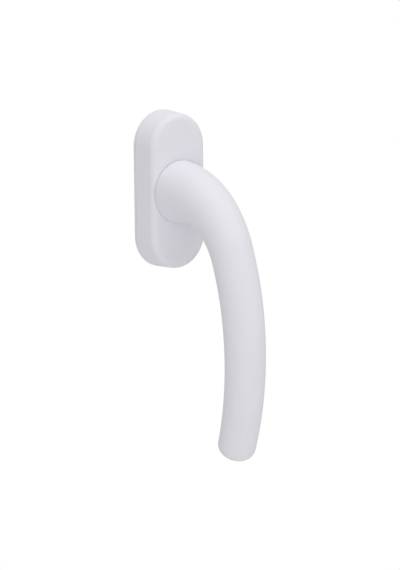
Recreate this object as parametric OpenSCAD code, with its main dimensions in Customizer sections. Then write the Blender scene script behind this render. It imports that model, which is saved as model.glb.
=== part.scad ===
// Tilt-and-turn window handle: a curved lever on an oblong rosette.
//
// Frame: the sash face is the plane Y = 0 and the room is on the -Y side. The
// spindle's axis is the Y axis, Z points up, and the lever hangs down: closed.
// Pieces of the rosette are drawn with Z as their height above the sash face,
// and on_sash() then turns that height towards the room.

/* [Spindle and hub] */
// Width across the flats of the square spindle
spindle_w = 7; // [6:0.1:10]
// Length of spindle that stands behind the sash face
spindle_reach = 14; // [8:1:60]
// Play on each side of the spindle in its socket
spindle_play = 0.02; // [0.01:0.01:0.1]
// Height above the sash face at which the spindle ends in the neck
spindle_top = 20; // [16:0.5:24]
// Hub metal left outside the corners of the spindle
hub_wall = 1.25; // [1:0.05:3]
// Height of the hub's end above the sash face
hub_end = 0.3; // [0.2:0.1:0.8]
// Running clearance of the hub in its bushes, on the radius
hub_play = 0.04; // [0.02:0.01:0.09]
// Radius of the spring pin through cam, hub and spindle
pin_r = 1; // [0.6:0.1:1.4]
// Play between the spring pin and its hole
pin_play = 0.02; // [0.01:0.01:0.1]
// Depth of the spring pin's ends below the cam's flats
pin_inset = 0.2; // [0.1:0.05:1]

/* [Detent] */
// Metal between the hub and each flat of the cam
cam_wall = 1.4; // [1:0.1:3]
// Rise from a flat of the cam to its corner
cam_rise = 1.1; // [0.6:0.1:2]
// Thickness of the cam
cam_t = 3.2; // [2.6:0.1:6]
// Depth of the two key flats cut into the hub
key_depth = 0.8; // [0.4:0.1:1.4]
// Thickness of each leaf spring
leaf_t = 0.6; // [0.3:0.05:1]
// Length of each leaf spring
leaf_len = 16.4; // [14:0.2:17]
// Gap between a leaf spring and what it may not touch
leaf_gap = 0.05; // [0.02:0.01:0.1]
// Room behind the middle of a leaf spring when the cam's corner passes
leaf_room = 0.1; // [0.05:0.05:0.5]

/* [Washers and retaining ring] */
// Height of the retaining ring above the sash face
ring_seat = 0.9; // [0.6:0.1:1.5]
// Thickness of the retaining ring
ring_t = 1; // [0.6:0.1:1.6]
// Depth of the retaining ring's groove in the hub
groove_depth = 0.5; // [0.3:0.05:0.9]
// How far the retaining ring stands out of the hub
ring_stand = 1.8; // [1:0.1:2.2]
// Thickness of the thrust washer
thrust_t = 0.6; // [0.4:0.1:1.5]
// Width of the thrust washer
thrust_w = 2.3; // [1.5:0.1:2.5]
// Thickness of the wave washer's steel
wave_t = 0.3; // [0.2:0.05:0.5]
// Height of the wave washer from crest to trough
wave_h = 0.8; // [0.6:0.1:1.5]
// Thickness of the glide washer
glide_t = 0.5; // [0.3:0.1:1.2]
// Gap that lets a turning face clear a fixed one
face_gap = 0.15; // [0.1:0.01:0.3]
// Play between a washer and the hub
washer_play = 0.1; // [0.05:0.05:0.3]

/* [Housing] */
// Thickness of the base plate
plate_t = 1.2; // [1:0.1:3]
// How far the base plate's edge stands in from the cover's widest outline
plate_inset = 0.1; // [0.05:0.05:1.5]
// Thickness of the housing's floor
floor_t = 1.45; // [1:0.05:3]
// Thickness of the housing's lid
lid_t = 1.4; // [1:0.1:3]
// Radius of the rivets through lid, housing and plate
rivet_r = 0.95; // [0.6:0.05:1.5]
// Play between a rivet and its hole
rivet_play = 0.02; // [0.01:0.01:0.1]
// Wall between a spring's pocket and a rivet
pocket_wall = 0.55; // [0.5:0.05:2]
// Wall between a rivet and the outside of the housing
edge_wall = 0.72; // [0.6:0.02:2]
// Wall of the plastic bush around the hub
bush_wall = 0.96; // [0.6:0.02:2]
// Wall of the bearing boss around the bush
boss_wall = 1; // [0.8:0.1:2]

/* [Rosette] */
// Height of the rosette
rosette_h = 70; // [64:1:110]
// Draft of the cover's sides, in degrees
side_draft = 3.8; // [1:0.1:6]
// Radius of the cover's front edge
edge_r = 2.8; // [1:0.1:3.2]
// Wall of the cover
cover_wall = 1.5; // [1.2:0.1:2.5]
// Gap between the cover and the housing that it turns around
cover_gap = 0.55; // [0.4:0.01:1]
// Gap between the cover's rim and the base plate
rim_gap = 0.1; // [0.1:0.05:0.5]
// Wall of the ring that guides the cover
guide_wall = 1.1; // [0.8:0.1:2]
// Width of the guide ring's flange under the cover
guide_flange_w = 2.6; // [1.5:0.1:3]
// Thickness of the guide ring's flange
guide_flange_t = 1; // [0.8:0.1:2]
// Sliding clearance of the guide ring, on the radius
guide_play = 0.08; // [0.05:0.01:0.1]
// Radius of the wire of the cover's snap ring
snap_wire_r = 0.4; // [0.3:0.05:0.6]
// Depth of the snap ring's seat in the housing
snap_seat = 0.5; // [0.4:0.05:0.7]
// Gap between the housing and the beads that snap behind the ring
bead_play = 0.18; // [0.1:0.02:0.24]

/* [Lever] */
// Gap between the neck and the front of the cover
neck_gap = 0.2; // [0.15:0.05:1]
// Radius of the neck where it meets the rosette
neck_r = 13.9; // [11:0.1:17]
// Radius of the neck's rounded back edge
neck_lip = 0.4; // [0.3:0.1:1.5]
// Straight length of the neck before the bend
neck_lead = 2.8; // [1:0.2:10]
// Length over which the neck tapers to the grip
flare_len = 48; // [30:1:50]
// Power that shapes the taper of the neck
flare_power = 1.7; // [1.2:0.1:2.5]
// Radius of the main bend
bend_r = 35.8; // [28:0.1:50]
// Angle of the main bend
bend_turn = 68; // [50:1:75]
// Radius of the shank's curve
shank_r = 115; // [80:5:200]
// Angle of the shank's curve
shank_turn = 14; // [8:1:20]
// Radius of the grip's curve
grip_curve_r = 130; // [90:5:250]
// Angle of the grip's curve
grip_turn = 28; // [15:1:32]
// Radius of the lever's section at the root of the grip
grip_r = 9.5; // [8:0.1:11]
// Radius of the lever's section at its end
end_r = 8.2; // [7.5:0.1:10]
// Radius of the rounding around the lever's flat end
tip_round = 5.5; // [3:0.5:7]

/* [Fixing] */
// Distance between the two fixing screws
screw_span = 43; // [38:1:52]
// Radius of a fixing screw's thread
screw_r = 2.5; // [2:0.1:3]
// Length of a fixing screw over its head
screw_len = 16; // [10:1:60]
// Radius of a fixing screw's countersunk head
head_r = 4.55; // [4:0.05:4.8]
// Clearance between a screw's thread and its hole
screw_play = 0.25; // [0.1:0.05:0.5]
// Radius of a locating boss
boss_r = 5; // [4.9:0.1:6.5]
// Height of a locating boss behind the sash face
boss_h = 2.5; // [1.5:0.1:8]

/* [Hidden] */
$fn = 72;

// Overlap of a cutting tool past the face that it cuts
cut = 1;

// Small sizes that nothing else depends on
chamfer_cut = 0.85;
cam_clear = 0.2;
rear_bush_wall = 0.8;
recess_clear = 0.3;
wave_room = 0.05;
boss_inset = 0.3;
edge_steps = 8;
pin_slit = 0.4;
ring_slot = 2.4;
ring_hole_r = 0.5;
ring_hole_angle = 20;
rivet_head = 0.5;
head_play = 0.05;
shank_cut = 0.3;
thread_start = 0.3;
recess_w = 1;
recess_h = 1.7;
neck_rest = 0.1;
guide_inset = 0.05;
pocket_half = 5;
snap_opening = 40;
snap_groove_h = 1;
bead_gap = 0.1;
bead_t = 0.9;
bead_len = 6;
wave_count = 3;
wave_steps = 48;

// Radii, from the spindle outwards
hub_r = spindle_w / sqrt(2) + hub_wall;
key_flat = hub_r - key_depth;
cam_flat = hub_r + cam_wall;
cam_r = cam_flat + cam_rise;
cavity_r = cam_r + cam_clear;
pocket_x = cam_r + leaf_t + leaf_room;
rivet_circle_r = pocket_x + pocket_wall + rivet_r;
housing_r = rivet_circle_r + rivet_r + edge_wall;
rear_bush_r = hub_r + hub_play + rear_bush_wall;
bush_r = hub_r + hub_play + bush_wall;
boss_tube_r = bush_r + boss_wall;
guide_in_r = boss_tube_r + guide_play;
guide_out_r = guide_in_r + guide_wall;
guide_flange_r = guide_out_r + guide_flange_w;
cover_hole_r = guide_out_r + guide_play;
recess_r = hub_r + max(ring_stand, thrust_w) + recess_clear;

// Heights above the sash face, from the retaining ring to the cover's front
thrust_z = ring_seat + ring_t;
wave_z = thrust_z + thrust_t;
floor_z = wave_z + wave_h + wave_room;
cavity_z = floor_z + floor_t;
cam_z = cavity_z + face_gap;
glide_z = cam_z + cam_t;
lid_z = glide_z + glide_t + face_gap;
lid_top = lid_z + lid_t;
guide_z = lid_top + face_gap;
front_in = guide_z + guide_flange_t + face_gap;
rosette_d = front_in + cover_wall;
neck_z = rosette_d + neck_gap;
boss_top = rosette_d - boss_inset;
rim_z = plate_t + rim_gap;
pin_z = cam_z + cam_t / 2;

// Width of the rosette at the sash face: the cover closes round the housing,
// and the width is rounded up to a tenth of a millimetre
draft_in = tan(side_draft);
rosette_w = ceil(20 * (housing_r + cover_gap + cover_wall + lid_top * draft_in)) / 10;
straight_h = rosette_h - rosette_w;

// Seat of the cover's snap ring
snap_z = (cavity_z + lid_z) / 2;
snap_c = housing_r - snap_seat + snap_wire_r;

// Ends of the lever's four stretches, measured along its centre line
function arc_length(r, turn) = r * turn * PI / 180;
bend_end = neck_lead + arc_length(bend_r, bend_turn);
shank_end = bend_end + arc_length(shank_r, shank_turn);
lever_len = shank_end + arc_length(grip_curve_r, grip_turn);
shank_heading = bend_turn + shank_turn;

// Where the centre line is after an arc, as [height, z]
function after_arc(from, a0, r, a1) = from + r * [sin(a1) - sin(a0), cos(a1) - cos(a0)];
neck_start = [neck_z, 0];
bend_start = neck_start + [neck_lead, 0];
shank_start = after_arc(bend_start, 0, bend_r, bend_turn);
grip_start = after_arc(shank_start, bend_turn, shank_r, shank_heading);

// How far the centre line has turned down at length t, in degrees
function heading(t) =
    t < neck_lead ? 0
    : t < bend_end ? bend_turn * (t - neck_lead) / (bend_end - neck_lead)
    : t < shank_end ? bend_turn + shank_turn * (t - bend_end) / (shank_end - bend_end)
    : shank_heading + grip_turn * (t - shank_end) / (lever_len - shank_end);

function centre(t) =
    t < neck_lead ? neck_start + [t, 0]
    : t < bend_end ? after_arc(bend_start, 0, bend_r, heading(t))
    : t < shank_end ? after_arc(shank_start, bend_turn, shank_r, heading(t))
    : after_arc(grip_start, shank_heading, grip_curve_r, heading(t));

// Radius of the lever's round section at length t
function taper_r(t) =
    grip_r - (grip_r - end_r) * pow(t / lever_len, 2)
    + (neck_r - grip_r) * pow(max(0, 1 - t / flare_len), flare_power);
function lip_cut(t) =
    t < neck_lip ? neck_lip - sqrt(pow(neck_lip, 2) - pow(neck_lip - t, 2)) : 0;
tip_start = lever_len - tip_round;
function tip_cut(t) =
    t > tip_start ? tip_round - sqrt(max(0, pow(tip_round, 2) - pow(t - tip_start, 2))) : 0;
function section_r(t) = taper_r(t) - lip_cut(t) - tip_cut(t);

// Lengths at which the swept body has a ring of points
lip_steps = 4;
body_steps = 44;
tip_steps = 8;
section_sides = 32;
stations = concat(
    [for (i = [0 : lip_steps - 1]) neck_lip * (1 - cos(90 * i / lip_steps))],
    [for (i = [0 : body_steps]) neck_lip + (tip_start - neck_lip) * i / body_steps],
    [for (i = [1 : tip_steps]) tip_start + tip_round * sin(90 * i / tip_steps)]
);

// Turns a piece that is drawn on the ground so that its height faces the room
module on_sash() {
    rotate([90, 0, 0]) children();
}

// A ring between two radii
module ring(r_in, r_out, z, h) {
    translate([0, 0, z]) difference() {
        cylinder(r = r_out, h = h);
        translate([0, 0, -cut]) cylinder(r = r_in, h = h + 2 * cut);
    }
}

// A solid with the rosette's oblong outline: a straight middle between two
// round ends. The child is one half of its section: width along X, height
// along Y
module swept_oblong(length) {
    for (side = [-1, 1]) {
        translate([0, side * length / 2, 0]) rotate_extrude() children();
    }
    for (turn = [0, 180]) {
        rotate([90, 0, turn]) linear_extrude(height = length, center = true) children();
    }
}

// Half of the cover's outside section, with the rounded front edge
module cover_section() {
    half_w = rosette_w / 2;
    round_y = rosette_d - edge_r;
    round_x = half_w - round_y * draft_in - edge_r / cos(side_draft);
    polygon(concat(
        [[0, rim_z], [half_w - rim_z * draft_in, rim_z]],
        [
            for (i = [0 : edge_steps])
                let (a = side_draft + (90 - side_draft) * i / edge_steps)
                [round_x + edge_r * cos(a), round_y + edge_r * sin(a)]
        ],
        [[0, rosette_d]]
    ));
}

// Half of the hollow inside the cover
module hollow_section() {
    half_in = rosette_w / 2 - cover_wall;
    polygon([
        [0, 0],
        [half_in, 0],
        [half_in - front_in * draft_in, front_in],
        [0, front_in]
    ]);
}

// A round hole or shaft with the hub's two key flats
module keyed_round(r, flat, h) {
    intersection() {
        cylinder(r = r, h = h);
        translate([-flat, -r - cut, 0]) cube([2 * flat, 2 * (r + cut), h]);
    }
}

// Puts a child at each of the two fixing screws
module at_screws() {
    for (side = [-1, 1]) {
        translate([0, side * screw_span / 2, 0]) children();
    }
}

// Puts a child at each of the four rivets
module at_rivets() {
    for (turn = [0, 90, 180, 270]) {
        rotate([0, 0, turn]) translate([rivet_circle_r, 0, 0]) children();
    }
}

// A rivet with a countersunk head at each end, or the hole that it fills
module rivet_shape(play) {
    cylinder(r = rivet_r + play, h = lid_top);
    cylinder(r1 = rivet_r + rivet_head + play, r2 = rivet_r + play, h = rivet_head);
    translate([0, 0, lid_top - rivet_head])
        cylinder(r1 = rivet_r + play, r2 = rivet_r + rivet_head + play, h = rivet_head);
}

module lever() {
    points = [
        for (t = stations)
            let (c = centre(t), a = heading(t), r = section_r(t))
            for (i = [0 : section_sides - 1])
                let (u = 360 * i / section_sides)
                [r * cos(u), -c[0] - r * sin(u) * sin(a), c[1] + r * sin(u) * cos(a)]
    ];
    last = (len(stations) - 1) * section_sides;
    faces = concat(
        [[for (i = [0 : section_sides - 1]) i]],
        [
            for (a = [0 : section_sides : last - 1])
                for (i = [0 : section_sides - 1])
                    let (j = (i + 1) % section_sides, b = a + section_sides)
                    [a + i, b + i, b + j, a + j]
        ],
        [[for (i = [section_sides - 1 : -1 : 0]) last + i]]
    );
    socket_w = spindle_w + 2 * spindle_play;
    color("whitesmoke") difference() {
        union() {
            polyhedron(points = points, faces = faces);
            on_sash() translate([0, 0, hub_end])
                cylinder(r = hub_r, h = neck_z + neck_lead - hub_end);
        }
        // Groove of the retaining ring
        on_sash() ring(hub_r - groove_depth, hub_r + cut, ring_seat, ring_t);
        // Key flats of the cam
        on_sash() for (turn = [0, 180]) {
            rotate([0, 0, turn]) translate([key_flat, -hub_r, 0])
                cube([key_depth + cut, 2 * hub_r, glide_z]);
        }
        // Socket of the spindle
        on_sash() translate([-socket_w / 2, -socket_w / 2, 0])
            cube([socket_w, socket_w, spindle_top]);
        // Hole of the spring pin
        on_sash() translate([0, 0, pin_z]) rotate([90, 0, 0])
            cylinder(r = pin_r + pin_play, h = 2 * (hub_r + cut), center = true);
    }
}

module spindle() {
    color("silver") on_sash() difference() {
        translate([-spindle_w / 2, -spindle_w / 2, -spindle_reach])
            cube([spindle_w, spindle_w, spindle_reach + spindle_top]);
        // Chamfer round the free end
        for (turn = [0 : 90 : 270]) {
            rotate([0, 0, turn]) translate([spindle_w / 2, 0, -spindle_reach])
                rotate([0, 45, 0])
                    cube([chamfer_cut, 2 * spindle_w, chamfer_cut], center = true);
        }
        translate([0, 0, pin_z]) rotate([90, 0, 0])
            cylinder(r = pin_r + pin_play, h = 2 * spindle_w, center = true);
    }
}

module spindle_pin() {
    color("dimgray") on_sash() translate([0, 0, pin_z]) rotate([90, 0, 0]) difference() {
        cylinder(r = pin_r, h = 2 * (cam_flat - pin_inset), center = true);
        cylinder(r = pin_r / 2, h = 2 * (cam_flat + cut), center = true);
        // Slit along the pin
        translate([0, -pin_slit / 2, -cam_flat - cut])
            cube([pin_r + cut, pin_slit, 2 * (cam_flat + cut)]);
    }
}

module index_cam() {
    color("goldenrod") on_sash() translate([0, 0, cam_z]) difference() {
        intersection() {
            cylinder(r = cam_r, h = cam_t);
            translate([-cam_flat, -cam_flat, 0]) cube([2 * cam_flat, 2 * cam_flat, cam_t]);
        }
        translate([0, 0, -cut])
            keyed_round(hub_r + pin_play, key_flat + pin_play, cam_t + 2 * cut);
        translate([0, 0, cam_t / 2]) rotate([90, 0, 0])
            cylinder(r = pin_r + pin_play, h = 2 * (cam_flat + cut), center = true);
    }
}

module glide_washer() {
    color("ivory") on_sash() ring(hub_r + washer_play, cam_r, glide_z, glide_t);
}

module thrust_washer() {
    color("silver") on_sash()
        ring(hub_r + washer_play, hub_r + thrust_w, thrust_z, thrust_t);
}

// Height of the wave washer's lower side at an angle
function wave_lift(angle) = wave_z + (wave_h - wave_t) * (1 + sin(wave_count * angle)) / 2;

module wave_washer() {
    corners = [
        [hub_r + washer_play, 0],
        [hub_r + thrust_w, 0],
        [hub_r + thrust_w, wave_t],
        [hub_r + washer_play, wave_t]
    ];
    points = [
        for (i = [0 : wave_steps - 1])
            let (angle = 360 * i / wave_steps)
            for (c = corners)
                [c[0] * cos(angle), c[0] * sin(angle), wave_lift(angle) + c[1]]
    ];
    faces = [
        for (i = [0 : wave_steps - 1])
            let (a = 4 * i, b = 4 * ((i + 1) % wave_steps))
            for (c = [0 : 3])
                [a + c, a + (c + 1) % 4, b + (c + 1) % 4, b + c]
    ];
    color("slategray") on_sash() polyhedron(points = points, faces = faces);
}

module retaining_ring() {
    color("dimgray") on_sash() difference() {
        ring(hub_r - groove_depth, hub_r + ring_stand, ring_seat, ring_t);
        translate([0, 0, ring_seat - cut]) {
            // Gap of the ring, and the two holes for the pliers
            translate([-ring_slot / 2, 0, 0])
                cube([ring_slot, 2 * hub_r, ring_t + 2 * cut]);
            for (side = [-1, 1]) {
                rotate([0, 0, 90 + side * ring_hole_angle])
                    translate([hub_r + ring_stand / 2 - groove_depth / 2, 0, 0])
                        cylinder(r = ring_hole_r, h = ring_t + 2 * cut);
            }
        }
    }
}

module base_plate() {
    hole_r = screw_r + screw_play;
    seat_h = head_r + head_play - hole_r;
    color("silver") on_sash() difference() {
        union() {
            swept_oblong(straight_h)
                square([rosette_w / 2 - plate_inset, plate_t]);
            at_screws() translate([0, 0, -boss_h]) cylinder(r = boss_r, h = boss_h + plate_t / 2);
        }
        translate([0, 0, -cut]) cylinder(r = recess_r, h = plate_t + 2 * cut);
        at_screws() {
            translate([0, 0, -boss_h - cut]) cylinder(r = hole_r, h = boss_h + plate_t + 2 * cut);
            translate([0, 0, plate_t - seat_h])
                cylinder(r1 = hole_r, r2 = hole_r + seat_h + cut, h = seat_h + cut);
        }
        at_rivets() rivet_shape(rivet_play);
    }
}

module detent_housing() {
    slot_x = cam_flat + 2 * leaf_gap + leaf_t;
    slot_y = leaf_len / 2 + leaf_gap;
    color("darkgray") on_sash() difference() {
        translate([0, 0, plate_t]) cylinder(r = housing_r, h = lid_z - plate_t);
        translate([0, 0, plate_t - cut]) cylinder(r = recess_r, h = floor_z - plate_t + cut);
        translate([0, 0, floor_z - cut]) cylinder(r = rear_bush_r, h = floor_t + 2 * cut);
        translate([0, 0, cavity_z]) {
            cylinder(r = cavity_r, h = lid_z - cavity_z + cut);
            for (turn = [0, 180]) {
                rotate([0, 0, turn]) {
                    // Slot that holds the leaf spring's ends
                    translate([cam_flat, -slot_y, 0])
                        cube([slot_x - cam_flat, 2 * slot_y, lid_z - cavity_z + cut]);
                    // Pocket that its middle bulges into
                    translate([cam_flat, -pocket_half, 0])
                        cube([pocket_x - cam_flat, 2 * pocket_half, lid_z - cavity_z + cut]);
                }
            }
        }
        ring(housing_r - snap_seat, housing_r + cut, snap_z - snap_groove_h / 2, snap_groove_h);
        at_rivets() rivet_shape(rivet_play);
    }
}

module housing_lid() {
    color("silver") on_sash() difference() {
        union() {
            translate([0, 0, lid_z]) cylinder(r = housing_r, h = lid_t);
            translate([0, 0, lid_z]) cylinder(r = boss_tube_r, h = boss_top - lid_z);
        }
        translate([0, 0, lid_z - cut]) cylinder(r = bush_r, h = boss_top - lid_z + 2 * cut);
        at_rivets() rivet_shape(rivet_play);
    }
}

module housing_rivets() {
    color("lightgray") on_sash() at_rivets() rivet_shape(0);
}

module hub_bush() {
    color("ivory") on_sash() {
        ring(hub_r + hub_play, bush_r, lid_z, boss_top - lid_z);
        ring(hub_r + hub_play, boss_tube_r, boss_top, neck_z - neck_rest - boss_top);
    }
}

module rear_bush() {
    color("ivory") on_sash() ring(hub_r + hub_play, rear_bush_r, floor_z, floor_t);
}

module leaf_spring(turn) {
    color("slategray") on_sash() rotate([0, 0, turn])
        translate([cam_flat + leaf_gap, -leaf_len / 2, cam_z + leaf_gap])
            cube([leaf_t, leaf_len, cam_t - 2 * leaf_gap]);
}

module detent_spring_left() {
    leaf_spring(180);
}

module detent_spring_right() {
    leaf_spring(0);
}

module cover_spring() {
    color("slategray") on_sash() translate([0, 0, snap_z])
        rotate([0, 0, -90 + snap_opening / 2]) rotate_extrude(angle = 360 - snap_opening)
            translate([snap_c, 0]) circle(r = snap_wire_r);
}

module fixing_screws() {
    head_h = head_r - screw_r;
    thread_len = screw_len - plate_t - boss_h - thread_start + head_play;
    color("silver") on_sash() at_screws() translate([0, 0, plate_t - head_play]) difference() {
        union() {
            translate([0, 0, -head_h]) cylinder(r1 = screw_r, r2 = head_r, h = head_h);
            // Plain shank through plate and boss, then the thread
            translate([0, 0, -screw_len])
                cylinder(r = screw_r - shank_cut, h = screw_len - head_h / 2);
            translate([0, 0, -screw_len]) cylinder(r = screw_r, h = thread_len);
        }
        // Cross recess
        intersection() {
            for (turn = [0, 90]) {
                rotate([0, 0, turn])
                    cube([2 * head_r, recess_w, 2 * recess_h], center = true);
            }
            translate([0, 0, -recess_h])
                cylinder(r1 = recess_w / 2, r2 = recess_w / 2 + 2 * recess_h, h = 2 * recess_h);
        }
    }
}

module cover_guide_ring() {
    color("whitesmoke") on_sash() {
        difference() {
            union() {
                translate([0, 0, guide_z])
                    cylinder(r = guide_out_r, h = rosette_d - guide_inset - guide_z);
                translate([0, 0, guide_z]) cylinder(r = guide_flange_r, h = guide_flange_t);
            }
            translate([0, 0, guide_z - cut]) cylinder(r = guide_in_r, h = rosette_d);
        }
    }
}

module cover_cap() {
    bead_top = snap_z - snap_wire_r - bead_gap;
    bead_x = housing_r + bead_play;
    color("whitesmoke") on_sash() difference() {
        swept_oblong(straight_h) cover_section();
        difference() {
            swept_oblong(straight_h) hollow_section();
            // Beads that snap behind the ring are left standing in the hollow
            for (turn = [0, 180]) {
                rotate([0, 0, turn])
                    translate([bead_x, -bead_len / 2, bead_top - bead_t])
                        cube([rosette_w, bead_len, bead_t]);
            }
        }
        cylinder(r = cover_hole_r, h = rosette_d + cut);
    }
}

lever();
spindle();
spindle_pin();
index_cam();
glide_washer();
thrust_washer();
wave_washer();
retaining_ring();
base_plate();
detent_housing();
housing_lid();
housing_rivets();
hub_bush();
rear_bush();
detent_spring_left();
detent_spring_right();
cover_spring();
fixing_screws();
cover_guide_ring();
cover_cap();
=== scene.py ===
import math

import bmesh
import bpy
from mathutils import Matrix, Vector


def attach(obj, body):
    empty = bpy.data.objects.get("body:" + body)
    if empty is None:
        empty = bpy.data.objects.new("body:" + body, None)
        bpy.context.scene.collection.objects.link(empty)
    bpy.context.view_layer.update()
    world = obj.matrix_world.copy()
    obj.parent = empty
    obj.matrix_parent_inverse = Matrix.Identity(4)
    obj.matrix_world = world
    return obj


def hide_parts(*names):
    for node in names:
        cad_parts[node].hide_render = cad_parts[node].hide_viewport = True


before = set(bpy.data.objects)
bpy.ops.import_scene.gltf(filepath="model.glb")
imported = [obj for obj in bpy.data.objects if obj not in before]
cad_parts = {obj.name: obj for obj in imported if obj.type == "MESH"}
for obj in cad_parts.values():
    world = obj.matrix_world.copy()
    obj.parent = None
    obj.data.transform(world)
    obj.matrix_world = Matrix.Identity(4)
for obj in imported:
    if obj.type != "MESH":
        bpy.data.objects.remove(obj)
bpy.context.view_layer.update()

# ---------------------------------------------------------------- base plate
# The plate that is screwed to the sash, moulded in white glass-filled nylon.
# Two locating bosses stand out behind it, and its skin is dull and slightly
# rough.
MM = 0.001
# A piece is drawn with Z as its height above the sash, then turned to face the room
ON_SASH = Matrix.Rotation(math.radians(90), 4, "X")
PLATE_EASE = 0.15


def shader_group(name, inputs, outputs):
    """An empty shader group with named number inputs, and its two end nodes."""
    group = bpy.data.node_groups.new(name, "ShaderNodeTree")
    for socket, value in inputs:
        made = group.interface.new_socket(socket, in_out="INPUT", socket_type="NodeSocketFloat")
        made.default_value = value
    for socket, kind in outputs:
        group.interface.new_socket(socket, in_out="OUTPUT", socket_type=kind)
    return group, group.nodes.new("NodeGroupInput"), group.nodes.new("NodeGroupOutput")


def times(tree, value, factor):
    """The product of a socket's value and a fixed factor."""
    node = tree.nodes.new("ShaderNodeMath")
    node.operation = "MULTIPLY"
    node.inputs[1].default_value = factor
    tree.links.new(value, node.inputs[0])
    return node.outputs[0]


def sized_noise(group, size, place):
    """A noise at the given place, whose lumps are as wide as a size in millimetres."""
    scale = group.nodes.new("ShaderNodeMath")
    scale.operation = "DIVIDE"
    scale.inputs[0].default_value = 1 / MM
    group.links.new(size, scale.inputs[1])
    noise = group.nodes.new("ShaderNodeTexNoise")
    group.links.new(place, noise.inputs["Vector"])
    group.links.new(scale.outputs[0], noise.inputs["Scale"])
    return noise


def skin_grain_group():
    """Fine relief of a skin: its normal, and the same pattern as a mask."""
    group, given, result = shader_group(
        "skin grain",
        [("Size mm", 1.0), ("Depth mm", 0.01), ("Detail", 2.0), ("Length", 1.0)],
        [("Mask", "NodeSocketFloat"), ("Normal", "NodeSocketVector")],
    )
    place = group.nodes.new("ShaderNodeTexCoord")
    stretch = group.nodes.new("ShaderNodeVectorMath")
    stretch.operation = "MULTIPLY"
    lengths = group.nodes.new("ShaderNodeCombineXYZ")
    lengths.inputs["X"].default_value = 1.0
    lengths.inputs["Z"].default_value = 1.0
    group.links.new(given.outputs["Length"], lengths.inputs["Y"])
    group.links.new(place.outputs["Object"], stretch.inputs[0])
    group.links.new(lengths.outputs[0], stretch.inputs[1])
    noise = sized_noise(group, given.outputs["Size mm"], stretch.outputs[0])
    noise.inputs["Roughness"].default_value = 0.55
    group.links.new(given.outputs["Detail"], noise.inputs["Detail"])
    relief = group.nodes.new("ShaderNodeBump")
    group.links.new(noise.outputs["Fac"], relief.inputs["Height"])
    group.links.new(times(group, given.outputs["Depth mm"], MM), relief.inputs["Distance"])
    group.links.new(noise.outputs["Fac"], result.inputs["Mask"])
    group.links.new(relief.outputs["Normal"], result.inputs["Normal"])
    return group


def broad_tone_group():
    """Broad, soft patches where a surface is a little darker or duller."""
    noise_low, noise_high = 0.32, 0.68
    group, given, result = shader_group(
        "broad tone",
        [("Size mm", 12.0), ("Low", 0.0), ("High", 1.0)],
        [("Value", "NodeSocketFloat")],
    )
    place = group.nodes.new("ShaderNodeTexCoord")
    noise = sized_noise(group, given.outputs["Size mm"], place.outputs["Object"])
    noise.inputs["Detail"].default_value = 3.0
    spread = group.nodes.new("ShaderNodeMapRange")
    spread.inputs["From Min"].default_value = noise_low
    spread.inputs["From Max"].default_value = noise_high
    group.links.new(noise.outputs["Fac"], spread.inputs["Value"])
    group.links.new(given.outputs["Low"], spread.inputs["To Min"])
    group.links.new(given.outputs["High"], spread.inputs["To Max"])
    group.links.new(spread.outputs["Result"], result.inputs["Value"])
    return group


SKIN_GRAIN = skin_grain_group()
BROAD_TONE = broad_tone_group()


def handle_finish(name, dark, light, metallic, roughness, grain, patch, **shader_values):
    """A finish of two close colours, with a skin grain and patches of gloss.

    Roughness is its lowest and highest value. Grain is the width and depth of
    the relief in millimetres, its detail, and its pace along the spindle.
    Patch is the width of the patches in millimetres.
    """
    material = bpy.data.materials.new(name)
    material.use_nodes = True
    tree = material.node_tree
    shader = tree.nodes["Principled BSDF"]
    skin = tree.nodes.new("ShaderNodeGroup")
    skin.node_tree = SKIN_GRAIN
    for socket, value in zip(("Size mm", "Depth mm", "Detail", "Length"), grain):
        skin.inputs[socket].default_value = value
    tone = tree.nodes.new("ShaderNodeGroup")
    tone.node_tree = BROAD_TONE
    tone.inputs["Size mm"].default_value = patch
    gloss = tree.nodes.new("ShaderNodeGroup")
    gloss.node_tree = BROAD_TONE
    gloss.inputs["Size mm"].default_value = patch / 3
    gloss.inputs["Low"].default_value = roughness[0]
    gloss.inputs["High"].default_value = roughness[1]
    share = tree.nodes.new("ShaderNodeMath")
    share.operation = "MULTIPLY_ADD"
    share.inputs[1].default_value = 0.5
    tree.links.new(tone.outputs["Value"], share.inputs[0])
    tree.links.new(times(tree, skin.outputs["Mask"], 0.5), share.inputs[2])
    colour = tree.nodes.new("ShaderNodeMix")
    colour.data_type = "RGBA"
    colour.inputs["A"].default_value = (*dark, 1)
    colour.inputs["B"].default_value = (*light, 1)
    tree.links.new(share.outputs[0], colour.inputs["Factor"])
    tree.links.new(colour.outputs["Result"], shader.inputs["Base Color"])
    tree.links.new(gloss.outputs["Value"], shader.inputs["Roughness"])
    tree.links.new(skin.outputs["Normal"], shader.inputs["Normal"])
    shader.inputs["Metallic"].default_value = metallic
    for socket, value in shader_values.items():
        shader.inputs[socket.replace("_", " ")].default_value = value
    return material


def eased_copy(node, width, segments=2):
    """A copy of a CAD node, in millimetres, with its sharp edges rounded."""
    sharpest_left = math.radians(30)
    shape = bmesh.new()
    shape.from_mesh(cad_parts[node].data)
    back_to_mm = ON_SASH.inverted() @ Matrix.Scale(1 / MM, 4)
    bmesh.ops.transform(shape, matrix=back_to_mm, verts=shape.verts)
    bmesh.ops.remove_doubles(shape, verts=shape.verts, dist=0.002)
    bmesh.ops.dissolve_limit(
        shape, angle_limit=math.radians(0.5), verts=shape.verts, edges=shape.edges
    )
    bmesh.ops.bevel(
        shape,
        geom=[e for e in shape.edges if e.is_manifold and e.calc_face_angle(0) > sharpest_left],
        offset=width,
        segments=segments,
        profile=0.5,
        affect="EDGES",
        clamp_overlap=True,
        material=-1,
    )
    return shape


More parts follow.
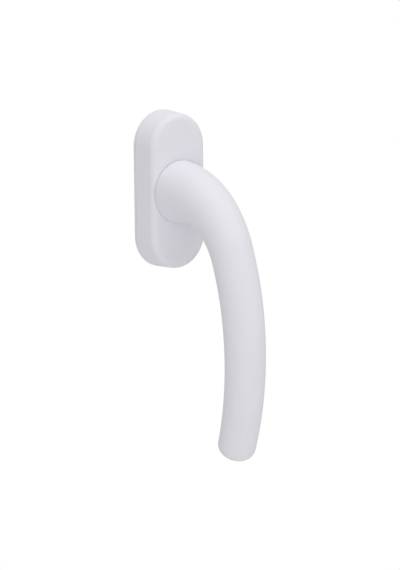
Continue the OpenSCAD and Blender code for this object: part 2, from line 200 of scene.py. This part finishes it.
def fit_to_sash(shape, name, material, body, node, crease=32):
    """Puts a shape drawn in millimetres on the sash, in place of its CAD node."""
    bmesh.ops.transform(shape, matrix=Matrix.Scale(MM, 4) @ ON_SASH, verts=shape.verts)
    for face in shape.faces:
        face.smooth = True
    for edge in shape.edges:
        edge.smooth = edge.is_manifold and edge.calc_face_angle(0) < math.radians(crease)
    data = bpy.data.meshes.new(name)
    shape.to_mesh(data)
    shape.free()
    data.materials.append(material)
    made = bpy.data.objects.new(name, data)
    bpy.context.scene.collection.objects.link(made)
    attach(made, body)
    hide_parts(node)


WHITE_NYLON = handle_finish(
    "white nylon",
    dark=(0.82, 0.815, 0.84),
    light=(0.86, 0.855, 0.875),
    metallic=0.0,
    roughness=(0.45, 0.6),
    grain=(0.35, 0.012, 3.0, 1.0),
    patch=6,
)
plate = eased_copy("base_plate", PLATE_EASE)
fit_to_sash(plate, "sash_plate", WHITE_NYLON, "rosette", "base_plate")

# ------------------------------------------------------------------- housing
# A zinc cup on the plate with its steel lid, riveted through at four places.
# The lid's collar is the bearing that carries the lever.
CUP_EASE, LID_EASE, RIVET_EASE = 0.2, 0.15, 0.06
CAST_ZINC = handle_finish(
    "cast zinc",
    dark=(0.3, 0.305, 0.32),
    light=(0.47, 0.475, 0.49),
    metallic=0.9,
    roughness=(0.38, 0.6),
    grain=(0.5, 0.02, 4.0, 1.0),
    patch=9,
)
PLATED_STEEL = handle_finish(
    "plated steel",
    dark=(0.3, 0.31, 0.34),
    light=(0.46, 0.465, 0.48),
    metallic=1.0,
    roughness=(0.22, 0.4),
    grain=(0.25, 0.004, 2.0, 1.0),
    patch=7,
)
cup = eased_copy("detent_housing", CUP_EASE)
fit_to_sash(cup, "housing_cup", CAST_ZINC, "rosette", "detent_housing")
lid = eased_copy("housing_lid", LID_EASE)
fit_to_sash(lid, "housing_cover_plate", PLATED_STEEL, "rosette", "housing_lid")
rivets = eased_copy("housing_rivets", RIVET_EASE)
fit_to_sash(rivets, "rivets", PLATED_STEEL, "rosette", "housing_rivets")

# ------------------------------------------------------ bushes, disc and guide
# Turned and moulded acetal: two bushes for the hub, the disc it glides on,
# and the ring pressed in the cap that turns round the collar.
BUSH_EASE = 0.06
ACETAL = handle_finish(
    "natural acetal",
    dark=(0.74, 0.725, 0.67),
    light=(0.82, 0.81, 0.76),
    metallic=0.0,
    roughness=(0.3, 0.42),
    grain=(0.4, 0.006, 2.0, 1.0),
    patch=8,
)
for node, name, body in (
    ("hub_bush", "collar_bush", "rosette"),
    ("rear_bush", "end_bush", "rosette"),
    ("glide_washer", "glide_disc", "handle"),
    ("cover_guide_ring", "cap_guide", "cover"),
):
    fit_to_sash(eased_copy(node, BUSH_EASE), name, ACETAL, body, node)

# --------------------------------------------------------------------- lever
# The lever is one aluminium die casting: a hub that runs in the rosette, a
# flared neck, the bend and the slim grip. It is ground smooth and powder
# coated white.
HUB_R, HUB_END, HUB_CHAMFER, GLIDE_H = 6.2, 0.3, 0.3, 8.15
KEY_FLAT = 5.4
GROOVE_H, GROOVE_W, GROOVE_D = 0.9, 1.0, 0.5
SOCKET_W, SOCKET_END = 7.04, 20.0
NECK_H, NECK_R, NECK_LIP = 13.2, 13.9, 0.4
FLARE, FLARE_POWER = 48, 1.7
GRIP_R, END_R, TIP_ROUND = 9.5, 8.2, 5.5
# The straight start of the centre line, then each bend's radius and how far it turns
NECK_LEAD = 2.8
BENDS = ((35.8, 68), (115, 14), (130, 28))
LEVER_LEN = NECK_LEAD + sum(math.radians(turn) * radius for radius, turn in BENDS)
SIDES = 112
LIP_STEPS, BODY_STEPS, TIP_STEPS = 6, 130, 14
# A loop of edges this near a rounded edge keeps the shading of the flat beside it true
SUPPORT = 0.25
POWDER_COAT = handle_finish(
    "white powder coat",
    dark=(0.845, 0.836, 0.886),
    light=(0.872, 0.863, 0.915),
    metallic=0.0,
    roughness=(0.48, 0.58),
    grain=(1.1, 0.006, 2.0, 1.0),
    patch=14,
    Specular_IOR_Level=0.12,
)


def grip_radius(t):
    """Radius of the round section at length t, before lip and tip."""
    flare = max(0, 1 - t / FLARE) ** FLARE_POWER
    return GRIP_R - (GRIP_R - END_R) * (t / LEVER_LEN) ** 2 + (NECK_R - GRIP_R) * flare


def section_place(t, radius):
    """Where a unit circle goes to be the lever's section at length t."""
    height, down, heading = NECK_H + min(t, NECK_LEAD), 0.0, 0.0
    left = t - NECK_LEAD
    for bend, turn in BENDS:
        part = min(max(left, 0), math.radians(turn) * bend)
        after = heading + part / bend
        height += bend * (math.sin(after) - math.sin(heading))
        down += bend * (math.cos(after) - math.cos(heading))
        heading = after
        left -= part
    return (
        Matrix.Translation((0, down, height))
        @ Matrix.Rotation(heading, 4, "X")
        @ Matrix.Diagonal((radius, radius, 1, 1))
    )


# The last two rings of the hub below the neck are at one height: the key
# flats end between them
hub_rings = [
    (HUB_R - HUB_CHAMFER, HUB_END),
    (HUB_R, HUB_END + HUB_CHAMFER),
    (HUB_R, GROOVE_H),
    (HUB_R - GROOVE_D, GROOVE_H),
    (HUB_R - GROOVE_D, GROOVE_H + GROOVE_W),
    (HUB_R, GROOVE_H + GROOVE_W),
    (HUB_R, GLIDE_H),
    (HUB_R, GLIDE_H),
    (HUB_R, NECK_H),
]
rings = [Matrix.Translation((0, 0, h)) @ Matrix.Diagonal((r, r, 1, 1)) for r, h in hub_rings]
rings.append(section_place(0, grip_radius(0) - NECK_LIP - SUPPORT))
for i in range(LIP_STEPS + 1):
    a = math.radians(90 * i / LIP_STEPS)
    t = NECK_LIP * (1 - math.cos(a))
    rings.append(section_place(t, grip_radius(t) - NECK_LIP * (1 - math.sin(a))))
tip_start = LEVER_LEN - TIP_ROUND
for i in range(1, BODY_STEPS + 1):
    t = NECK_LIP + (tip_start - NECK_LIP) * i / BODY_STEPS
    rings.append(section_place(t, grip_radius(t)))
for i in range(1, TIP_STEPS + 1):
    a = math.radians(90 * i / TIP_STEPS)
    t = tip_start + TIP_ROUND * math.sin(a)
    rings.append(section_place(t, grip_radius(t) - TIP_ROUND * (1 - math.cos(a))))
rings.append(section_place(LEVER_LEN, grip_radius(LEVER_LEN) - TIP_ROUND - SUPPORT))

# The skin is drawn out from the hub's end, ring by ring, to the tip
lever = bmesh.new()
verts = bmesh.ops.create_circle(lever, segments=SIDES, radius=1)["verts"]
bmesh.ops.transform(lever, matrix=rings[0], verts=verts)
hub_edge = list(lever.edges)
edges = hub_edge
for before, after in zip(rings, rings[1:]):
    grown = bmesh.ops.extrude_edge_only(lever, edges=edges)["geom"]
    verts = {g for g in grown if isinstance(g, bmesh.types.BMVert)}
    edges = [g for g in grown if isinstance(g, bmesh.types.BMEdge) and verts.issuperset(g.verts)]
    bmesh.ops.transform(lever, matrix=after @ before.inverted(), verts=list(verts))
bmesh.ops.contextual_create(lever, geom=edges)

# The two key flats are cut on the hub, up to the first of the two equal rings
lever.verts.ensure_lookup_table()
for v in lever.verts[: (len(hub_rings) - 2) * SIDES]:
    if abs(v.co.x) > KEY_FLAT:
        v.co.y *= HUB_R / v.co.xy.length
        v.co.x = math.copysign(KEY_FLAT, v.co.x)
bmesh.ops.remove_doubles(lever, verts=lever.verts, dist=0.001)

# The square socket of the spindle is sunk in the hub's end
half = SOCKET_W / 2
corners = [
    lever.verts.new((x, y, HUB_END))
    for x, y in ((-half, -half), (half, -half), (half, half), (-half, half))
]
mouth = [lever.edges.new((corners[i - 1], corners[i])) for i in (1, 2, 3, 0)]
bmesh.ops.triangle_fill(lever, edges=hub_edge + mouth, use_beauty=True)
grown = bmesh.ops.extrude_edge_only(lever, edges=mouth)["geom"]
deep = [g for g in grown if isinstance(g, bmesh.types.BMVert)]
bmesh.ops.translate(lever, vec=(0, 0, SOCKET_END - HUB_END), verts=deep)
bottom = [g for g in grown if isinstance(g, bmesh.types.BMEdge) and all(v in deep for v in g.verts)]
bmesh.ops.contextual_create(lever, geom=bottom)
bmesh.ops.recalc_face_normals(lever, faces=lever.faces)
fit_to_sash(lever, "lever_casting", POWDER_COAT, "handle", "lever")

# ------------------------------------------------------------ spindle and cam
# The drawn square bar that turns the window's gear, and the zinc cam and the
# flat steel washer that ride on the hub with it.
SPINDLE_EASE, SPINDLE_EASE_STEPS = 0.3, 3
CAM_EASE, WASHER_EASE = 0.15, 0.08
DRAWN_STEEL = handle_finish(
    "drawn steel",
    dark=(0.3, 0.3, 0.325),
    light=(0.45, 0.45, 0.465),
    metallic=1.0,
    roughness=(0.25, 0.42),
    grain=(0.35, 0.006, 3.0, 0.06),
    patch=6,
)
bar = eased_copy("spindle", SPINDLE_EASE, SPINDLE_EASE_STEPS)
fit_to_sash(bar, "square_spindle", DRAWN_STEEL, "handle", "spindle")
cam = eased_copy("index_cam", CAM_EASE)
fit_to_sash(cam, "detent_cam", CAST_ZINC, "handle", "index_cam")
washer = eased_copy("thrust_washer", WASHER_EASE)
fit_to_sash(washer, "flat_washer", PLATED_STEEL, "handle", "thrust_washer")

# ------------------------------------------------------------ springs and clip
# Stamped or bent from hardened strip and wire, oiled and nearly black: the
# circlip, the spring pin, the two detent leaves and the cap's snap ring.
SPRING_STEEL = handle_finish(
    "spring steel",
    dark=(0.09, 0.093, 0.105),
    light=(0.2, 0.2, 0.215),
    metallic=1.0,
    roughness=(0.22, 0.42),
    grain=(0.3, 0.005, 3.0, 1.0),
    patch=5,
)
for node, name, body, ease in (
    ("retaining_ring", "circlip", "handle", 0.08),
    ("spindle_pin", "spring_pin", "handle", 0.05),
    ("detent_spring_left", "leaf_left", "rosette", 0.1),
    ("detent_spring_right", "leaf_right", "rosette", 0.1),
    ("cover_spring", "snap_ring", "rosette", 0.1),
):
    fit_to_sash(eased_copy(node, ease), name, SPRING_STEEL, body, node)

# --------------------------------------------------------------- wave washer
# A flat ring of spring strip pressed into three waves. It takes up the end
# play between the hub's flat washer and the housing's floor.
WAVE_IN, WAVE_OUT, WAVE_H, WAVE_T, WAVE_LOW = 6.3, 8.5, 0.8, 0.3, 2.5
WAVES, WAVE_STEPS = 3, 144


def turned(section, steps):
    """A closed section of radius and height, turned a full round about the Z axis."""
    shape = bmesh.new()
    points = [shape.verts.new((r, 0, h)) for r, h in section]
    edges = [shape.edges.new(pair) for pair in zip(points, points[1:] + points[:1])]
    bmesh.ops.spin(
        shape,
        geom=points + edges,
        axis=(0, 0, 1),
        cent=(0, 0, 0),
        angle=math.tau,
        steps=steps,
        use_merge=True,
    )
    bmesh.ops.recalc_face_normals(shape, faces=shape.faces)
    return shape


wave = turned([(WAVE_IN, 0), (WAVE_OUT, 0), (WAVE_OUT, WAVE_T), (WAVE_IN, WAVE_T)], WAVE_STEPS)
for v in wave.verts:
    rise = (1 + math.sin(WAVES * math.atan2(v.co.y, v.co.x))) / 2
    v.co.z += WAVE_LOW + (WAVE_H - WAVE_T) * rise
fit_to_sash(wave, "wave_spring", SPRING_STEEL, "handle", "wave_washer")

# ------------------------------------------------------------- fixing screws
# Two M5 countersunk machine screws in bright zinc-plated steel, with a cross
# recess in the head and a rolled thread that bites behind the sash.
SCREW_SPAN, SCREW_EASE, SCREW_CREASE = 43, 0.08, 28
SHANK_R, THREAD_R, ROOT_R = 2.2, 2.5, 2.08
THREAD_TOP, THREAD_END, END_CHAMFER = -2.8, -14.85, 0.45
PITCH, STEPS_A_TURN = 0.8, 28
TOOTH_HALF, CREST_HALF = 0.36, 0.05
# The tooth is sunk in the root, and its crest stays inside the nominal radius
ROOT_SINK, CREST_PLAY = 0.05, 0.02
# How far the tooth's middle stays from the screw's end and from the plain shank
LEAD_IN, LEAD_OUT = 0.75, 0.15
screws = eased_copy("fixing_screws", SCREW_EASE)
# The blank is turned down to the thread's root, and its end chamfered
for v in screws.verts:
    middle = Vector((0, math.copysign(SCREW_SPAN / 2, v.co.y), v.co.z))
    out = v.co - middle
    if v.co.z < THREAD_TOP + LEAD_OUT and out.length > (SHANK_R + THREAD_R) / 2:
        at_end = v.co.z < THREAD_END + SCREW_EASE / 2
        v.co = middle + out * (ROOT_R - (END_CHAMFER if at_end else 0)) / out.length
turns = int((THREAD_TOP - THREAD_END - LEAD_IN - LEAD_OUT) / PITCH)
tooth_section = (
    (ROOT_R - ROOT_SINK, -TOOTH_HALF),
    (THREAD_R - CREST_PLAY, -CREST_HALF),
    (THREAD_R - CREST_PLAY, CREST_HALF),
    (ROOT_R - ROOT_SINK, TOOTH_HALF),
)
for middle_y in (-SCREW_SPAN / 2, SCREW_SPAN / 2):
    tooth = [screws.verts.new((r, middle_y, THREAD_END + LEAD_IN + h)) for r, h in tooth_section]
    bmesh.ops.spin(
        screws,
        geom=[screws.faces.new(tooth)],
        axis=(0, 0, 1),
        cent=(0, middle_y, 0),
        dvec=(0, 0, PITCH / STEPS_A_TURN),
        angle=math.tau * turns,
        steps=STEPS_A_TURN * turns,
    )
bmesh.ops.recalc_face_normals(screws, faces=screws.faces)
fit_to_sash(
    screws,
    "fixing_screws_m5",
    PLATED_STEEL,
    "rosette",
    "fixing_screws",
    SCREW_CREASE,
)

# --------------------------------------------------------------- rosette cap
# The white cap that hides the screws: a thin die casting with drafted sides
# and a rounded front edge, powder coated like the lever. It snaps on behind
# the neck, and its round hole carries the guide.
CAP_W, CAP_H, CAP_D = 30.6, 70.0, 13.0
CAP_WALL, CAP_RIM, CAP_EDGE = 1.5, 1.3, 2.8
DRAFT_DEG = 3.8
HOLE_R, HOLE_ROUND = 9.46, 0.25
INNER_ROUND = 0.5
RIM_CHAMFER, INNER_CHAMFER, INNER_CHAMFER_H = 0.15, 0.1, 0.3
# Steps of the front edge, of the small corners and all round the cap
EDGE_STEPS, SMALL_STEPS, AROUND = 12, 4, 176
# Everything this far outside the hole is drawn out when the cap is made oblong
PAST_HOLE = 1


def corner(centre_r, centre_h, radius, start, end, steps):
    """Points of a rounded corner in a section, as radius and height."""
    angles = [math.radians(start + (end - start) * i / steps) for i in range(steps + 1)]
    return [(centre_r + radius * math.cos(a), centre_h + radius * math.sin(a)) for a in angles]


draft = math.tan(math.radians(DRAFT_DEG))


def outside(h):
    """The cap's outer wall at height h, as radius and height."""
    return (CAP_W / 2 - h * draft, h)


edge_h = CAP_D - CAP_EDGE
edge_r = outside(edge_h)[0] - CAP_EDGE / math.cos(math.radians(DRAFT_DEG))
inner_h = CAP_D - CAP_WALL
inner_r = outside(inner_h)[0] - CAP_WALL
hole_r = HOLE_R + HOLE_ROUND
chamfer_h = CAP_RIM + INNER_CHAMFER_H
cap_section = (
    [(outside(CAP_RIM)[0] - RIM_CHAMFER, CAP_RIM), outside(CAP_RIM + RIM_CHAMFER)]
    + [outside(CAP_RIM + RIM_CHAMFER + SUPPORT), outside(edge_h - SUPPORT)]
    + corner(edge_r, edge_h, CAP_EDGE, DRAFT_DEG, 90, EDGE_STEPS)
    + [(edge_r - SUPPORT, CAP_D), (hole_r + SUPPORT, CAP_D)]
    + corner(hole_r, CAP_D - HOLE_ROUND, HOLE_ROUND, 90, 180, SMALL_STEPS)
    + [(HOLE_R, inner_h + SUPPORT), (HOLE_R, inner_h)]
    + corner(inner_r - INNER_ROUND, inner_h - INNER_ROUND, INNER_ROUND, 90, 4, SMALL_STEPS)
    + [(outside(chamfer_h)[0] - CAP_WALL, chamfer_h)]
    + [(outside(CAP_RIM)[0] - CAP_WALL + INNER_CHAMFER, CAP_RIM)]
)
cap = turned(cap_section, AROUND)
half_step = Matrix.Rotation(math.pi / AROUND, 3, "Z")
bmesh.ops.rotate(cap, cent=(0, 0, 0), matrix=half_step, verts=cap.verts)
# The turned cap is parted across its middle, outside the hole, and drawn out
for side in (-1, 1):
    end = [v for v in cap.verts if v.co.y * side > 0 and v.co.xy.length > HOLE_R + PAST_HOLE]
    bmesh.ops.translate(cap, vec=(0, side * (CAP_H - CAP_W) / 2, 0), verts=end)
fit_to_sash(cap, "rosette_cap", POWDER_COAT, "cover", "cover_cap")

# ---------------------------------------------------------------- the studio
# A bright plain room with a pale floor far below. Three soft square lamps
# light the handle from above, from the left and from low in front.
ROOM_STRENGTH = 0.61
FLOOR_SIZE, FLOOR_Z = 3.0, -0.45
LOOKED_AT = Vector((0, -0.03, -0.04))


def seen_white(tree, lit, output):
    """Shows plain white to the camera, while the object is lit as by `lit`."""
    path = tree.nodes.new("ShaderNodeLightPath")
    white = tree.nodes.new("ShaderNodeEmission")
    white.inputs["Strength"].default_value = 1.0
    mix = tree.nodes.new("ShaderNodeMixShader")
    tree.links.new(path.outputs["Is Camera Ray"], mix.inputs[0])
    tree.links.new(lit, mix.inputs[1])
    tree.links.new(white.outputs[0], mix.inputs[2])
    tree.links.new(mix.outputs[0], output)


world = bpy.data.worlds.new("bright room")
bpy.context.scene.world = world
world.use_nodes = True
room = world.node_tree.nodes["Background"]
room.inputs["Color"].default_value = (1.0, 1.0, 1.0, 1)
room.inputs["Strength"].default_value = ROOM_STRENGTH
world_output = world.node_tree.nodes["World Output"]
seen_white(world.node_tree, room.outputs[0], world_output.inputs["Surface"])

floor_shape = bmesh.new()
bmesh.ops.create_grid(floor_shape, x_segments=8, y_segments=8, size=FLOOR_SIZE)
bmesh.ops.translate(floor_shape, vec=(0, 0, FLOOR_Z), verts=floor_shape.verts)
floor_data = bpy.data.meshes.new("studio_floor")
floor_shape.to_mesh(floor_data)
floor_shape.free()
floor = bpy.data.objects.new("studio_floor", floor_data)
bpy.context.scene.collection.objects.link(floor)
pale = bpy.data.materials.new("pale floor")
pale.use_nodes = True
pale_shader = pale.node_tree.nodes["Principled BSDF"]
pale_shader.inputs["Base Color"].default_value = (0.8, 0.8, 0.8, 1)
pale_shader.inputs["Roughness"].default_value = 0.9
pale_output = pale.node_tree.nodes["Material Output"]
seen_white(pale.node_tree, pale_shader.outputs[0], pale_output.inputs["Surface"])
floor_data.materials.append(pale)

for name, place, size, power in (
    ("top lamp", (0.1, -0.25, 1.2), 1.0, 5.6),
    ("left lamp", (-1.1, -1.0, 0.3), 0.9, 1.1),
    ("low lamp", (-0.3, -0.9, -0.42), 0.8, 2.5),
):
    light = bpy.data.lights.new(name, "AREA")
    light.size = size
    light.energy = power
    lamp = bpy.data.objects.new(name, light)
    lamp.location = place
    lamp.rotation_euler = (LOOKED_AT - Vector(place)).to_track_quat("-Z", "Y").to_euler()
    bpy.context.scene.collection.objects.link(lamp)

# -------------------------------------------------------------------- camera
# A long lens, more than a metre away, to the left of the lever and a little
# above the spindle.
AZIMUTH, ELEVATION, ROLL = math.radians(-37.3), math.radians(9.47), math.radians(-0.7)
DISTANCE, LENS = 1.229, 175.8
# How far the spindle's axis is left of and above the middle of the view
AIM_LEFT, AIM_ABOVE = math.radians(0.7875), math.radians(1.998)
back = Vector(
    (
        math.sin(AZIMUTH) * math.cos(ELEVATION),
        -math.cos(AZIMUTH) * math.cos(ELEVATION),
        math.sin(ELEVATION),
    )
)
right = Vector((0, 0, 1)).cross(back).normalized()
upright = Matrix((right, back.cross(right), back)).transposed()
seen = Vector((-math.tan(AIM_LEFT), math.tan(AIM_ABOVE), -1)).normalized()
aim = seen.rotation_difference(Vector((0, 0, -1))).to_matrix()
facing = upright @ Matrix.Rotation(ROLL, 3, "Z") @ aim
camera_data = bpy.data.cameras.new("camera")
camera_data.lens = LENS
camera = bpy.data.objects.new("camera", camera_data)
camera.matrix_world = Matrix.Translation(back * DISTANCE) @ facing.to_4x4()
bpy.context.scene.collection.objects.link(camera)
bpy.context.scene.camera = camera
bpy.context.scene.view_settings.view_transform = "Standard"
